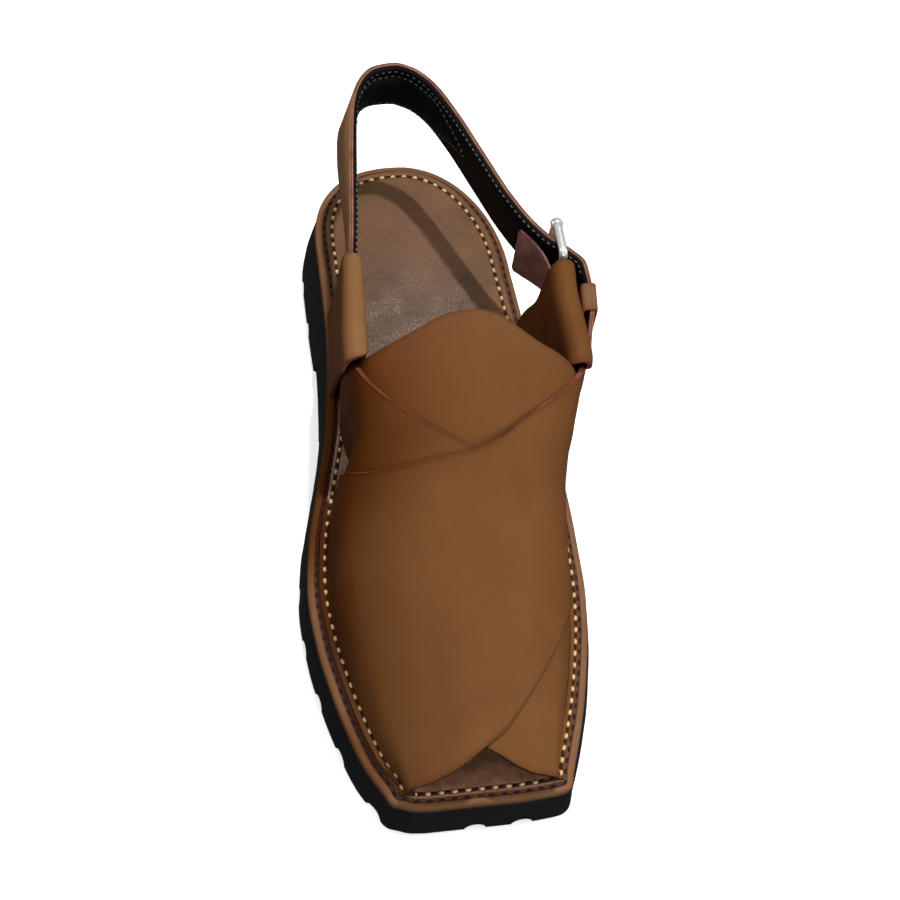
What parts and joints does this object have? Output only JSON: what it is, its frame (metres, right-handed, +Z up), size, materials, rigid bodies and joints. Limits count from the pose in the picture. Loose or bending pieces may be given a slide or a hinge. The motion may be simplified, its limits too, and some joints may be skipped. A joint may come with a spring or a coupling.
{
  "type": "peshawari chappal",
  "caption": "Left leather sandal with crossing panels over the forefoot, square open toe, folded side flaps, buckled heel strap and a lugged rubber sole",
  "frame": {"origin": "centre of the overall box across and along, on the plane of the tread", "axes": "+Z up, -Y towards the toe, +Y towards the heel, +X towards the outer side with the buckle"},
  "size_m": [0.1185, 0.2905, 0.097],
  "materials": {
    "rubber": "matt black, slightly rough",
    "midsole_leather": "burnished brown leather board, red-brown cut edge",
    "insole_leather": "smooth mauve-brown leather with a soft sheen",
    "brown_leather": "smooth mid-brown leather, semi-matt",
    "black_lining": "soft black lining leather",
    "suede": "purple-brown suede",
    "silver": "bright plated wire"
  },
  "bodies": {
    "root": {"outsole": "rubber", "midsole": "midsole_leather", "insole": "insole_leather", "upper": "brown_leather", "tongue": "brown_leather", "quarter_medial": "brown_leather", "quarter_lateral": "brown_leather", "heel_strap": "brown_leather", "heel_pad": "black_lining", "buckle_frame": "silver", "buckle_prong": "silver", "buckle_chape": "brown_leather", "buckle_backing": "suede", "strap_keeper": "brown_leather"}
  },
  "joints": []
}
